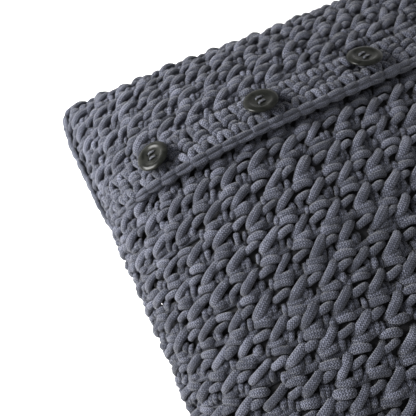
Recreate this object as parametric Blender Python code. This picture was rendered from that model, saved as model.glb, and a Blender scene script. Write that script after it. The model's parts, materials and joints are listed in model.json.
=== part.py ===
"""Crocheted throw pillow: a buttoned envelope cover over a soft insert, lying on its back.

Frame: metres, +Z up. X runs along the row of buttons and +Y points to the folded top edge.
The origin is under the middle of the pillow, on the surface that it rests on.
"""
import math

import bmesh
import bpy
from mathutils import Matrix, Vector

# Overall form
HALF_WIDTH = 0.208          # middle to the fold, and to the side edges at the corners
CROWN = 0.078               # top of the flap above the seam plane
SAG = 0.062                 # how far the back would hang below the seam plane if nothing held it
SEAM_HEIGHT = 0.055         # seam plane above the surface that the pillow rests on
SIDE_PULL = 0.03            # how far the sides draw in half way between corners, as a share
PROFILE_POWER = 2.8         # the crown's fullness towards the middle
PROFILE_ROUND = 0.53        # how round the edges are

# Fineness of the meshes
GRID_LINES = 8              # grid lines between the middle and an edge
GRID_SPACING = 0.012        # least share of the half width between a grid line and a join
SEAM_CORNER = 0.3           # share of a seam's section that is flat; the rest is its bevelled corners
BUTTON_STEPS = 28
HOLE_SIDES = 10
SHANK_SIDES = 16
SHARP_ANGLE = math.radians(40.0)

# Fabric layers
COVER_THICKNESS = 0.006     # crocheted fabric
CASE_THICKNESS = 0.0012     # woven case of the insert
LAYER_GAP = 0.0005          # between two layers of fabric
JOIN_GAP = 0.0004           # between pieces that meet edge to edge

# Flap, measured in plan from the fold
FLAP_DEPTH = 0.113          # fold to the flap's edge
BAND_DEPTH = 0.030          # single-crochet band along the flap's edge
EDGE_CHAIN_DEPTH = 0.0055   # row of chain stitches that finishes the band
FLAP_REACH = 0.90           # share of the half width that the flap's free part spans
FLAP_SEWN_REACH = 0.985     # share of the half width where its ends are caught in the side seams
OVERLAP = 0.055             # how far the front panel runs on under the flap
MOUTH_RIM_DEPTH = 0.007     # finishing row of the front panel

# Seams
SEAM_WIDTH = 0.008          # row of slip stitches that joins front and back
SEAM_THICKNESS = 0.0065
SEAM_OVERHANG = 0.002       # how far the seam stands out past the back panel's edge
MIDDLE_Y = SEAM_OVERHANG / 2       # puts the fold and the bottom seam equally far from the origin

# Buttons and their threads
BUTTON_COUNT = 5
BUTTON_RADIUS = 0.0115
BUTTON_THICKNESS = 0.0042
BUTTON_DISH_RADIUS = 0.0068
BUTTON_DISH_FLOOR = 0.0024  # floor of the dish above the button's underside
BUTTON_SETBACK = 0.0175     # flap's edge to the button's middle, in plan
BUTTON_LIFT = 0.0046        # button's underside above the flap
BUTTON_TILT = math.radians(15.0)   # lean towards the fold, which the flap's pull gives it
THREAD_HOLE_RADIUS = 0.0012
THREAD_HOLE_PITCH = 0.0046  # between neighbouring thread holes
DRILL_OVERRUN = 0.001       # how far a drill runs past the button on each side
THREAD_RADIUS = 0.0008
SHANK_RADIUS = 0.0024
SHANK_FOOT_CLEARANCE = 0.001
BUTTONHOLE_CLEARANCE = 0.0008
BUTTONHOLE_LENGTH = 0.016

COLOURS = {
    "yarn": ((0.082, 0.087, 0.112), 0.9, 0.0),
    "case": ((0.02, 0.02, 0.024), 0.9, 0.0),
    "fibre": ((0.85, 0.85, 0.83), 1.0, 0.0),
    "button": ((0.016, 0.015, 0.012), 0.18, 0.0),
    "thread": ((0.11, 0.115, 0.13), 0.8, 0.0),
}


def clear_scene():
    for item in list(bpy.data.objects):
        bpy.data.objects.remove(item, do_unlink=True)


def material(node, kind):
    colour, roughness, metallic = COLOURS[kind]
    made = bpy.data.materials.new(node)
    made.use_nodes = True
    shader = made.node_tree.nodes["Principled BSDF"]
    shader.inputs["Base Color"].default_value = (*colour, 1.0)
    shader.inputs["Roughness"].default_value = roughness
    shader.inputs["Metallic"].default_value = metallic
    return made


def add_object(name, data, kind=None, parent=None):
    made = bpy.data.objects.new(name, data)
    bpy.context.scene.collection.objects.link(made)
    made.parent = parent
    if kind:
        made.data.materials.clear()
        made.data.materials.append(material(name, kind))
    return made


def mesh_from(bm, name):
    bmesh.ops.recalc_face_normals(bm, faces=bm.faces[:])
    if bm.calc_volume(signed=True) < 0:
        bmesh.ops.reverse_faces(bm, faces=bm.faces[:])
    data = bpy.data.meshes.new(name)
    bm.to_mesh(data)
    bm.free()
    return data


def profile(t):
    return max(0.0, 1.0 - abs(t) ** PROFILE_POWER) ** PROFILE_ROUND


def pulled(t):
    """Share of the half width that is left where the outline draws in between two corners."""
    return 1.0 - SIDE_PULL * (1.0 - t * t)


def top_surface(plan_inset, height_inset=None):
    """Upper side of a layer, as a function of two shares of the half width, u and v."""
    height = CROWN - (plan_inset if height_inset is None else height_inset)

    def point(u, v):
        half = HALF_WIDTH - plan_inset
        rise = height * profile(u) * profile(v)
        y = MIDDLE_Y + half * v * pulled(u)
        return Vector((half * u * pulled(v), y, SEAM_HEIGHT + JOIN_GAP / 2 + rise))

    return point


def back_surface(plan_inset, height_inset):
    """Lower side of a layer, flat where the surface below holds it up."""
    def point(u, v):
        half = HALF_WIDTH - plan_inset
        drop = (SAG - height_inset) * profile(u) * profile(v)
        height = max(height_inset, SEAM_HEIGHT - JOIN_GAP / 2 - drop)
        return Vector((half * u * pulled(v), MIDDLE_Y + half * v * pulled(u), height))

    return point


def joins_along():
    """Shares of the half width where pieces meet one behind another, from the flap's edge to the fold."""
    edge = (HALF_WIDTH - FLAP_DEPTH) / HALF_WIDTH
    inner_half = HALF_WIDTH - COVER_THICKNESS - LAYER_GAP
    panel_end = (HALF_WIDTH - FLAP_DEPTH + OVERLAP) / inner_half
    return {
        "edge": edge,
        "chain_end": edge + EDGE_CHAIN_DEPTH / HALF_WIDTH,
        "band_end": edge + BAND_DEPTH / HALF_WIDTH,
        "panel_end": panel_end,
        "rim_end": panel_end + MOUTH_RIM_DEPTH / inner_half,
    }


def grid_lines(low, high, joins=()):
    """Grid lines that all layers share, closer together towards the edges, with a line at each join."""
    even = [math.sin(math.pi / 2 * step / GRID_LINES) for step in range(-GRID_LINES, GRID_LINES + 1)]
    shared = [line for line in even if all(abs(line - join) > GRID_SPACING for join in joins)]
    near_end = GRID_SPACING / 3
    between = [line for line in sorted(shared + list(joins)) if low + near_end < line < high - near_end]
    return [low] + between + [high]


def add_layer(name, kind, outer, inner, u_span, v_span):
    """A piece of fabric or filling between two surfaces: a grid, extruded from the inner to the outer."""
    across = grid_lines(*u_span, (-FLAP_REACH, FLAP_REACH))
    along = grid_lines(*v_span, joins_along().values())
    bm = bmesh.new()
    place = bm.verts.layers.float_vector.new("place")
    bmesh.ops.create_grid(bm, x_segments=len(across) - 1, y_segments=len(along) - 1, size=1.0)
    for vert in bm.verts:
        column = round((vert.co.x + 1) / 2 * (len(across) - 1))
        row = round((vert.co.y + 1) / 2 * (len(along) - 1))
        vert[place] = (across[column], along[row], 0.0)
    for face in bm.faces[:]:
        ordered = sorted(face.verts, key=lambda vert: abs(vert[place].x) + abs(vert[place].y))
        bmesh.utils.face_split(face, ordered[0], ordered[-1])
    extruded = bmesh.ops.extrude_face_region(bm, geom=bm.faces[:])["geom"]
    lifted = {vert for vert in extruded if isinstance(vert, bmesh.types.BMVert)}
    for vert in bm.verts:
        surface = outer if vert in lifted else inner
        vert.co = surface(vert[place].x, vert[place].y)
    return add_object(name, mesh_from(bm, name), kind)


def seam_stop():
    """Share of the half width where the side seams end: past it the flap's ends come down to the back."""
    flap_end = top_surface(COVER_THICKNESS)
    seam_top = SEAM_HEIGHT + JOIN_GAP + SEAM_THICKNESS
    share = 1.0
    step = 0.005
    while flap_end(FLAP_SEWN_REACH, share).z < seam_top + 2 * LAYER_GAP:
        share -= step
    return share


def add_seam(name, path, low_share, high_share):
    """A rounded strip swept along the seam; path gives a point and the outward direction at a share."""
    corner = SEAM_CORNER
    section = [(1, -corner), (1, corner), (corner, 1), (-corner, 1),
               (-1, corner), (-1, -corner), (-corner, -1), (corner, -1)]
    low = SEAM_HEIGHT + JOIN_GAP
    bm = bmesh.new()
    rings = []
    for share in grid_lines(low_share, high_share):
        middle, outward = path(share)
        ring = []
        for across, up in section:
            offset = outward * across * SEAM_WIDTH / 2
            height = low + (up + 1) * SEAM_THICKNESS / 2
            ring.append(bm.verts.new((middle.x + offset.x, middle.y + offset.y, height)))
        rings.append(ring)
    for near, far in zip(rings, rings[1:]):
        for side in range(len(section)):
            after = (side + 1) % len(section)
            bm.faces.new((near[side], near[after], far[after], far[side]))
    bm.faces.new(rings[0])
    bm.faces.new(reversed(rings[-1]))
    return add_object(name, mesh_from(bm, name), "yarn")


def evaluated_mesh(item):
    """The mesh of an object with its modifiers, for copies to share; the object is removed."""
    graph = bpy.context.evaluated_depsgraph_get()
    data = bpy.data.meshes.new_from_object(item.evaluated_get(graph))
    bpy.data.objects.remove(item, do_unlink=True)
    return data


def cylinder_mesh(name, radius, low, high, centres=((0.0, 0.0),), segments=HOLE_SIDES, stretch=0.0):
    """Upright cylinders; stretch pulls their two halves apart along x, which makes a slot."""
    bm = bmesh.new()
    for x, y in centres:
        made = bmesh.ops.create_cone(bm, cap_ends=True, segments=segments, radius1=radius,
                                     radius2=radius, depth=high - low)["verts"]
        for vert in made:
            shift = math.copysign(stretch / 2, vert.co.x) if abs(vert.co.x) > 1e-9 else 0.0
            vert.co += Vector((x + shift, y, (low + high) / 2))
    return mesh_from(bm, name)


def cut(item, cutter):
    modifier = item.modifiers.new("cut", "BOOLEAN")
    modifier.solver = "EXACT"
    modifier.object = cutter
    cutter.hide_render = True
    cutter.display_type = "WIRE"


def button_mesh():
    """A turned disc with a rounded rim and a dished middle with four thread holes.

    The outline runs from the middle of the underside round the rim, as shares of the rim and the thickness.
    """
    rim = BUTTON_RADIUS
    dish = BUTTON_DISH_RADIUS
    top = BUTTON_THICKNESS
    outline = [(0, 0), (rim * 0.78, 0), (rim * 0.93, top * 0.16), (rim, top * 0.45), (rim * 0.98, top * 0.74),
               (rim * 0.89, top * 0.96), (rim * 0.78, top), (dish * 1.10, top * 0.86),
               (dish, BUTTON_DISH_FLOOR + 0.0003), (dish * 0.9, BUTTON_DISH_FLOOR), (0, BUTTON_DISH_FLOOR)]
    bm = bmesh.new()
    points = [bm.verts.new((radius, 0, height)) for radius, height in outline]
    edges = [bm.edges.new(pair) for pair in zip(points, points[1:])]
    bmesh.ops.spin(bm, geom=points + edges, cent=(0, 0, 0), axis=(0, 0, 1), angle=2 * math.pi,
                   steps=BUTTON_STEPS, use_merge=True)
    bmesh.ops.remove_doubles(bm, verts=bm.verts[:], dist=1e-6)
    disc = add_object("button_blank", mesh_from(bm, "button_blank"))
    half = THREAD_HOLE_PITCH / 2
    holes = [(x, y) for x in (-half, half) for y in (-half, half)]
    drill = add_object("button_drill", cylinder_mesh("button_drill", THREAD_HOLE_RADIUS, -DRILL_OVERRUN,
                                                     BUTTON_THICKNESS + DRILL_OVERRUN, holes))
    cut(disc, drill)
    data = evaluated_mesh(disc)
    bpy.data.objects.remove(drill, do_unlink=True)
    data.shade_smooth()
    data.set_sharp_from_angle(angle=SHARP_ANGLE)
    return data


def thread_mesh():
    """One length of thread: through all four holes, twice over the dish and once under the button."""
    half = THREAD_HOLE_PITCH / 2
    over = BUTTON_DISH_FLOOR + LAYER_GAP + THREAD_RADIUS
    under = -LAYER_GAP - THREAD_RADIUS
    bend = THREAD_RADIUS
    first = [(-half, under), (-half, over - bend), (-half + bend, over), (half - bend, over),
             (half, over - bend), (half, under + bend)]
    route = [(x, -half, z) for x, z in first] + [(half, bend - half, under), (half, half - bend, under)]
    route += [(x, half, z) for x, z in reversed(first)]
    curve = bpy.data.curves.new("thread_route", "CURVE")
    curve.dimensions = "3D"
    curve.bevel_depth = THREAD_RADIUS
    curve.bevel_resolution = 2
    curve.use_fill_caps = True
    line = curve.splines.new("POLY")
    line.points.add(len(route) - 1)
    for point, place in zip(line.points, route):
        point.co = (*place, 1.0)
    bm = bmesh.new()
    bm.from_mesh(evaluated_mesh(add_object("thread_route", curve)))
    bmesh.ops.remove_doubles(bm, verts=bm.verts[:], dist=1e-6)
    data = mesh_from(bm, "thread")
    data.shade_smooth()
    return data


def button_seats():
    """Places of the buttons on the flap, evenly spaced along the band from seam to seam."""
    surface = top_surface(0.0)
    v = (HALF_WIDTH - FLAP_DEPTH + BUTTON_SETBACK) / HALF_WIDTH
    samples = 400
    shares = [2 * step / samples - 1 for step in range(samples + 1)]
    lengths = [0.0]
    for before, after in zip(shares, shares[1:]):
        lengths.append(lengths[-1] + (surface(after, v) - surface(before, v)).length)
    seats = []
    for number in range(1, BUTTON_COUNT + 1):
        target = lengths[-1] * number / (BUTTON_COUNT + 1)
        step = next(index for index, length in enumerate(lengths) if length >= target)
        part = (target - lengths[step - 1]) / (lengths[step] - lengths[step - 1])
        u = shares[step - 1] + part * (shares[step] - shares[step - 1])
        seats.append(seat_matrix(surface, u, v))
    return seats


def seat_matrix(surface, u, v):
    """Frame of a button: x along the band, z along its own axis, origin in the middle of its underside."""
    small = 1e-3
    along = (surface(u + small, v) - surface(u - small, v)).normalized()
    up = (surface(u, v + small) - surface(u, v - small)).normalized()
    normal = along.cross(up).normalized()
    axis = Matrix.Rotation(-BUTTON_TILT, 3, along) @ normal
    turned = Matrix((along, axis.cross(along), axis)).transposed().to_4x4()
    return Matrix.Translation(surface(u, v) + axis * BUTTON_LIFT) @ turned


def build_insert():
    cover = 2 * (COVER_THICKNESS + LAYER_GAP)
    under = COVER_THICKNESS + LAYER_GAP
    fill = CASE_THICKNESS + LAYER_GAP
    whole = (-1.0, 1.0)
    add_layer("insert_filling", "fibre", top_surface(cover + fill), back_surface(cover + fill, under + fill),
              whole, whole)
    add_layer("insert_case_front", "case", top_surface(cover), top_surface(cover + CASE_THICKNESS),
              whole, whole)
    add_layer("insert_case_back", "case", back_surface(cover, under),
              back_surface(cover + CASE_THICKNESS, under + CASE_THICKNESS), whole, whole)


def build_cover():
    """Back panel, front panel with its mouth rim, and the seams that join them."""
    inset = COVER_THICKNESS + LAYER_GAP
    outer, inner = top_surface(inset), top_surface(inset + COVER_THICKNESS)
    joins = joins_along()
    rim_start = joins["panel_end"] + JOIN_GAP / HALF_WIDTH
    add_layer("cover_back_panel", "yarn", back_surface(0.0, 0.0),
              back_surface(COVER_THICKNESS, COVER_THICKNESS), (-1.0, 1.0), (-1.0, 1.0))
    add_layer("cover_front_panel", "yarn", outer, inner, (-1.0, 1.0), (-1.0, joins["panel_end"]))
    add_layer("front_mouth_rim", "yarn", outer, inner, (-1.0, 1.0), (rim_start, joins["rim_end"]))

    centre = HALF_WIDTH + SEAM_OVERHANG - SEAM_WIDTH / 2
    corner_reach = (HALF_WIDTH + SEAM_OVERHANG) / HALF_WIDTH
    bottom_reach = (centre - SEAM_WIDTH / 2 - 2 * LAYER_GAP) / HALF_WIDTH
    for name, side in (("side_seam_left", -1), ("side_seam_right", 1)):
        def side_path(share, side=side):
            place = Vector((side * centre * pulled(share), MIDDLE_Y + HALF_WIDTH * share, 0))
            return place, Vector((side, 0, 0))
        add_seam(name, side_path, -corner_reach, seam_stop())

    def bottom_path(share):
        return Vector((HALF_WIDTH * share, MIDDLE_Y - centre * pulled(share), 0)), Vector((0, -1, 0))
    add_seam("bottom_seam", bottom_path, -bottom_reach, bottom_reach)


def build_flap(seats):
    """The flap, hinged at the fold: its panel, sewn ends, buttoned band and edge chain."""
    outer, inner = top_surface(0.0), top_surface(COVER_THICKNESS)
    gap = JOIN_GAP / HALF_WIDTH
    joins = joins_along()
    panel_span = (joins["band_end"] + gap, 1.0)
    band_span = (joins["chain_end"] + gap, joins["band_end"])
    chain_span = (joins["edge"], joins["chain_end"])
    sewn = FLAP_SEWN_REACH
    free = FLAP_REACH
    add_layer("flap_panel", "yarn", outer, inner, (-free, free), panel_span)
    add_layer("flap_end_left", "yarn", outer, inner, (-sewn, -free - gap), panel_span)
    add_layer("flap_end_right", "yarn", outer, inner, (free + gap, sewn), panel_span)
    add_layer("flap_edge_chain", "yarn", outer, inner, (-sewn, sewn), chain_span)
    band = add_layer("flap_band", "yarn", outer, inner, (-sewn, sewn), band_span)
    radius = SHANK_RADIUS + BUTTONHOLE_CLEARANCE
    depth = BUTTON_LIFT + 2 * COVER_THICKNESS
    slot = cylinder_mesh("buttonhole", radius, -depth, 0.0, stretch=BUTTONHOLE_LENGTH - 2 * radius)
    for number, seat in enumerate(seats, 1):
        cutter = add_object(f"buttonhole_cutter_{number}", slot)
        cutter.matrix_world = seat
        cut(band, cutter)


def build_buttons(seats):
    """Each button and its stitches turn on an empty; the thread shank below stays with the front panel."""
    shapes = {"button": button_mesh(), "button_thread": thread_mesh()}
    foot = BUTTON_LIFT + (COVER_THICKNESS + LAYER_GAP) / math.cos(BUTTON_TILT) - SHANK_FOOT_CLEARANCE
    neck = 2 * (LAYER_GAP + THREAD_RADIUS)
    shapes["thread_shank"] = cylinder_mesh("thread_shank", SHANK_RADIUS, -foot, -neck, segments=SHANK_SIDES)
    kinds = {"button": "button", "button_thread": "thread", "thread_shank": "thread"}
    for number, seat in enumerate(seats, 1):
        pivot = add_object(f"button_pivot_{number}", None)
        pivot.matrix_world = seat
        for part, data in shapes.items():
            add_object(f"{part}_{number}", data.copy(), kinds[part], pivot)


def build():
    clear_scene()
    seats = button_seats()
    build_insert()
    build_cover()
    build_flap(seats)
    build_buttons(seats)


build()
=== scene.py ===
import json
import math
import bmesh
import bpy
import numpy as np
from mathutils import Matrix, Vector


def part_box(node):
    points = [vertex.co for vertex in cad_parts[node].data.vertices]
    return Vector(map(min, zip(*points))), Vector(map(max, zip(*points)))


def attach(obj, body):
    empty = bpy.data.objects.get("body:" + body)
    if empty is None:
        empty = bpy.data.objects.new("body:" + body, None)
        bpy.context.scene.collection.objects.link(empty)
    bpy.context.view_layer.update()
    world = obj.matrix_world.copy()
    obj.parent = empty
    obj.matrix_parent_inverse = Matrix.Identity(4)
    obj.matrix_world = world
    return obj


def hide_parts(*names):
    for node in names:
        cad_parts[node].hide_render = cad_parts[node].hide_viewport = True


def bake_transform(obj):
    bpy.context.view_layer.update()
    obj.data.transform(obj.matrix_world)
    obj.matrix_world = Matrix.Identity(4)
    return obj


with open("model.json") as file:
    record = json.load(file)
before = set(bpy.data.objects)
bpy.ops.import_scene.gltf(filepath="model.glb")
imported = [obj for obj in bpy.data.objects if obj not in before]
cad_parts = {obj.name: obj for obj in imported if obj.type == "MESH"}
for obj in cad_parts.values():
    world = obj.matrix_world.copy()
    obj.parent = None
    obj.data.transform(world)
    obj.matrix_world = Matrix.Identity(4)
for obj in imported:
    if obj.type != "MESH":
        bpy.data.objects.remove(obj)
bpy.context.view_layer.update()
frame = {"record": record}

mm = 0.001

# the pillow's shape, the same rounded square that the frame was made on
shape = {
    "crown": 0.078,  # how far the front rises over the seam
    "sag": 0.062,  # how far the back would hang under it
    "sidePull": 0.03,  # how far the sides draw in between the corners
    "flatness": 2.8,
    "roundness": 0.53,
    "lump": 1.3 * mm,  # unevenness of the filling, the sum of a few waves
    "lumpWaves": 7,
    "lumpPitch": (1.5, 5.0),  # slowest and quickest, in radians over half the width
    "lumpStart": 6.3,  # each wave starts up to this far along, in radians
    "lumpShare": 0.6,
    "coverThickness": 6 * mm,
    "restGap": 0.1 * mm,  # the yarn that the pillow lies on is pressed flat, this far up
    "sideInset": 7 * mm,  # no layer of stitches starts further in from the side than this
    "clothEdge": 0.992,  # a strand's middle goes no further out than this share of the half width
    "swell": 1.5 * mm,  # how much thicker the cloth is where it turns down to the side seams
    "swellFrom": 0.78,  # share of the half width where that begins, and how far it takes to build up
    "swellOver": 0.22,
    "slopeStep": 0.004,  # the cloth's slope is measured over steps this long, inside this limit
    "slopeLimit": 0.985,
    "seed": 7,
}
backLow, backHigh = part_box("cover_back_panel")
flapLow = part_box("flap_panel")[0]
halfWidth = (backHigh[0] - backLow[0]) / 2
middleY = (backHigh[1] + backLow[1]) / 2
seamHeight = (backHigh[2] + flapLow[2]) / 2


def profile(t):
    return np.maximum(0, 1 - np.abs(t) ** shape["flatness"]) ** shape["roundness"]


def pulled(t):
    return 1 - shape["sidePull"] * (1 - t * t)


def unsquare(s):
    # even steps of s crowd towards the seam, where the side turns down
    return np.sign(s) * (1 - (1 - np.minimum(np.abs(s), 1)) ** 2)


def resquare(t):
    return np.sign(t) * (1 - np.sqrt(1 - np.minimum(np.abs(t), 1)))


lumpRng = np.random.default_rng(shape["seed"])
lumpWaves = []
for _ in range(shape["lumpWaves"]):
    pitches = [lumpRng.uniform(*shape["lumpPitch"]) for _ in range(2)]
    starts = [lumpRng.uniform(0, shape["lumpStart"]) for _ in range(2)]
    lumpWaves.append((*pitches, *starts))


def lumps(u, v):
    total = 0
    for alongU, alongV, startU, startV in lumpWaves:
        total = total + np.sin(alongU * u + startU) * np.sin(alongV * v + startV)
    return shape["lump"] * total * shape["lumpShare"] * profile(u) * profile(v)


def layerPoint(su, sv, front, depth, inset=None):
    # a point on the front or the back, depth metres under the cover's outside and inset in from its sides
    u = unsquare(su)
    v = unsquare(sv)
    half = halfWidth - (depth if inset is None else inset)
    x = half * u * pulled(v)
    y = middleY + half * v * pulled(u)
    rise = profile(u) * profile(v)
    if front:
        z = seamHeight + (shape["crown"] - depth) * rise + lumps(u, v)
    else:
        z = np.maximum(depth, seamHeight - (shape["sag"] - depth) * rise)
    return np.stack([x, y, z + 0 * x], -1)


def layerNormal(su, sv, front, depth):
    step = shape["slopeStep"]
    a = np.clip(su, -shape["slopeLimit"], shape["slopeLimit"])
    b = np.clip(sv, -shape["slopeLimit"], shape["slopeLimit"])
    alongU = layerPoint(a + step, b, front, depth) - layerPoint(a - step, b, front, depth)
    alongV = layerPoint(a, b + step, front, depth) - layerPoint(a, b - step, front, depth)
    normal = np.cross(alongU, alongV)
    normal = normal / (np.linalg.norm(normal, axis=-1, keepdims=True) + 1e-12)
    return normal if front else -normal


clothTable = {
    "rows": 81,
    "steps": 241,
    "rounds": 14,  # how often spread goes round before its two shares settle
}


def arcTable(front, depth):
    # for a line at each height sv, the su that lies a given share of the way along it
    rows = clothTable["rows"]
    steps = clothTable["steps"]
    su = np.linspace(0, 1, steps)
    inverse = np.zeros((rows, steps))
    lengths = np.zeros(rows)
    for j, sv in enumerate(np.linspace(0, 1, rows)):
        u = unsquare(su)
        v = unsquare(np.array(sv))
        half = halfWidth - depth
        rise = (shape["crown"] if front else shape["sag"]) - depth
        x = half * u * pulled(v)
        y = half * v * pulled(u)
        z = rise * profile(u) * profile(v)
        if not front:
            z = np.minimum(z, seamHeight - depth)
        step = np.sqrt(np.diff(x) ** 2 + np.diff(y) ** 2 + np.diff(z) ** 2)
        along = np.concatenate([[0], np.cumsum(step)])
        lengths[j] = along[-1]
        inverse[j] = np.interp(np.linspace(0, 1, steps), along / along[-1], su)
    return inverse, lengths


tables = {front: arcTable(front, shape["coverThickness"]) for front in (True, False)}
halfArc = {front: float(tables[front][1][0]) for front in tables}


def lookUp(table, height, share):
    rows, steps = table.shape
    j = np.clip(np.abs(height), 0, 1) * (rows - 1)
    k = np.clip(np.abs(share), 0, 1) * (steps - 1)
    row = np.minimum(j.astype(int), rows - 2)
    step = np.minimum(k.astype(int), steps - 2)
    pastRow = j - row
    pastStep = k - step
    low = table[row, step] * (1 - pastStep) + table[row, step + 1] * pastStep
    high = table[row + 1, step] * (1 - pastStep) + table[row + 1, step + 1] * pastStep
    return np.sign(share) * (low * (1 - pastRow) + high * pastRow)


def spread(across, up, front):
    # shares of the half width and half height, measured along the cloth, to the surface's own su and sv
    table = tables[front][0]
    su = across + 0 * up
    sv = up + 0 * across
    for _ in range(clothTable["rounds"]):
        su = lookUp(table, sv, across)
        sv = lookUp(table, su, up)
    return su, sv


def onCloth(across, up, height, front, depth):
    su, sv = spread(across, up, front)
    base = layerPoint(su, sv, front, depth, min(depth, shape["sideInset"]))
    normal = layerNormal(su, sv, front, depth)
    return base + normal * height[..., None], normal


def shareAt(y):
    # how far up the cloth a height y of the frame lies, on the pillow's middle line
    v = (y - middleY) / (halfWidth * pulled(0))
    sv = resquare(np.array(v))
    return float(np.interp(sv, tables[True][0][0], np.linspace(0, 1, clothTable["steps"])))


flapEdge = shareAt(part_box("flap_edge_chain")[0][1])
mouthLow = shareAt(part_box("front_mouth_rim")[0][1])
print("cloth: half width along the front", round(halfArc[True], 4), "flap edge at", round(flapEdge, 3))


# camera, floor and light
view = {
    "place": (-0.171, 0.0122, 0.3438),
    "heading": 32.17,  # degrees from +Y towards +X
    "down": 74.33,
    "roll": 6.8,
    "lens": 32.9,
    "sensor": 36,
    "clipStart": 0.01,
}


def makeCamera():
    heading = math.radians(view["heading"])
    down = math.radians(view["down"])
    roll = math.radians(view["roll"])
    alongFloor = math.cos(down)
    ahead = Vector((math.sin(heading) * alongFloor, math.cos(heading) * alongFloor, -math.sin(down)))
    sideways = ahead.cross(Vector((0, 0, 1))).normalized()
    upright = sideways.cross(ahead)
    right = sideways * math.cos(roll) + upright * math.sin(roll)
    up = upright * math.cos(roll) - sideways * math.sin(roll)
    data = bpy.data.cameras.new("camera")
    data.lens = view["lens"]
    data.sensor_width = view["sensor"]
    data.clip_start = view["clipStart"]
    camera = bpy.data.objects.new("camera", data)
    bpy.context.scene.collection.objects.link(camera)
    turn = Matrix((right, up, -ahead)).transposed()
    camera.matrix_world = Matrix.Translation(view["place"]) @ turn.to_4x4()
    bpy.context.scene.camera = camera


studio = {
    "floorSize": 14.0,
    "floorColour": (0.93, 0.93, 0.93, 1),
    "floorRoughness": 0.9,
    "floorGlow": 0.46,
    "skyStrength": 0.36,  # overhead
    "horizonStrength": 0.92,
    "horizonReach": 0.5,  # how high the brighter horizon fades out, as the sine of the angle
    "keyPower": 5.6,
    "keyPlace": (-0.47, 0.27, 0.31),
    "keySize": 0.24,
    "fillPower": 1.2,
    "fillPlace": (1.1, -1.0, 1.0),
    "fillSize": 0.8,
    "aim": (0, 0, 0.06),
}


def areaLight(name):
    place = studio[name + "Place"]
    data = bpy.data.lights.new(name, "AREA")
    data.shape = "SQUARE"
    data.size = studio[name + "Size"]
    data.energy = studio[name + "Power"]
    lamp = bpy.data.objects.new(name, data)
    bpy.context.scene.collection.objects.link(lamp)
    lamp.location = place
    lamp.rotation_euler = (Vector(studio["aim"]) - Vector(place)).to_track_quat("-Z", "Y").to_euler()


def makeStudio():
    scene = bpy.context.scene
    scene.view_settings.view_transform = "Standard"
    world = bpy.data.worlds.new("softSky")
    world.use_nodes = True
    nodes = world.node_tree.nodes
    links = world.node_tree.links
    sky = nodes["Background"]
    sky.inputs["Color"].default_value = (1, 1, 1, 1)
    way = nodes.new("ShaderNodeTexCoord")
    parts = nodes.new("ShaderNodeSeparateXYZ")
    fade = nodes.new("ShaderNodeMapRange")
    fade.interpolation_type = "SMOOTHSTEP"
    fade.inputs["From Max"].default_value = studio["horizonReach"]
    fade.inputs["To Min"].default_value = studio["horizonStrength"]
    fade.inputs["To Max"].default_value = studio["skyStrength"]
    links.new(way.outputs["Generated"], parts.inputs[0])
    links.new(parts.outputs[2], fade.inputs["Value"])
    links.new(fade.outputs[0], sky.inputs["Strength"])
    scene.world = world
    areaLight("key")
    areaLight("fill")
    half = studio["floorSize"] / 2
    mesh = bpy.data.meshes.new("floor")
    corners = [(-half, -half, 0), (half, -half, 0), (half, half, 0), (-half, half, 0)]
    mesh.from_pydata(corners, [], [(0, 1, 2, 3)])
    floor = bpy.data.objects.new("floor", mesh)
    scene.collection.objects.link(floor)
    paint = bpy.data.materials.new("paleFloor")
    paint.use_nodes = True
    shader = paint.node_tree.nodes["Principled BSDF"]
    shader.inputs["Base Color"].default_value = studio["floorColour"]
    shader.inputs["Roughness"].default_value = studio["floorRoughness"]
    shader.inputs["Emission Color"].default_value = (1, 1, 1, 1)
    shader.inputs["Emission Strength"].default_value = studio["floorGlow"]
    mesh.materials.append(paint)


makeCamera()
makeStudio()
print("studio: camera, floor and lights")


# finishes
def newFinish(name):
    paint = bpy.data.materials.new(name)
    paint.use_nodes = True
    nodes = paint.node_tree.nodes
    links = paint.node_tree.links
    return paint, nodes, links, nodes["Principled BSDF"]


def mathNode(nodes, links, operation, first, second=None):
    node = nodes.new("ShaderNodeMath")
    node.operation = operation
    for slotIndex, value in enumerate((first, second)):
        if value is None:
            continue
        if isinstance(value, (int, float)):
            node.inputs[slotIndex].default_value = value
        else:
            links.new(value, node.inputs[slotIndex])
    return node.outputs[0]


def rampNode(nodes, links, source, stops):
    ramp = nodes.new("ShaderNodeValToRGB")
    while len(ramp.color_ramp.elements) < len(stops):
        ramp.color_ramp.elements.new(0.5)
    for element, (place, colour) in zip(ramp.color_ramp.elements, stops):
        element.position = place
        element.color = (*colour, 1)
    links.new(source, ramp.inputs[0])
    return ramp.outputs[0]


def noiseNode(nodes, links, place, scale, detail=2.0, distortion=0.0):
    noise = nodes.new("ShaderNodeTexNoise")
    noise.inputs["Scale"].default_value = scale
    noise.inputs["Detail"].default_value = detail
    noise.inputs["Distortion"].default_value = distortion
    links.new(place, noise.inputs["Vector"])
    return noise.outputs["Fac"]


def bumpNode(nodes, links, height, strength, distance, before=None):
    bump = nodes.new("ShaderNodeBump")
    bump.inputs["Strength"].default_value = strength
    bump.inputs["Distance"].default_value = distance
    links.new(height, bump.inputs["Height"])
    if before is not None:
        links.new(before, bump.inputs["Normal"])
    return bump.outputs[0]


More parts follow.
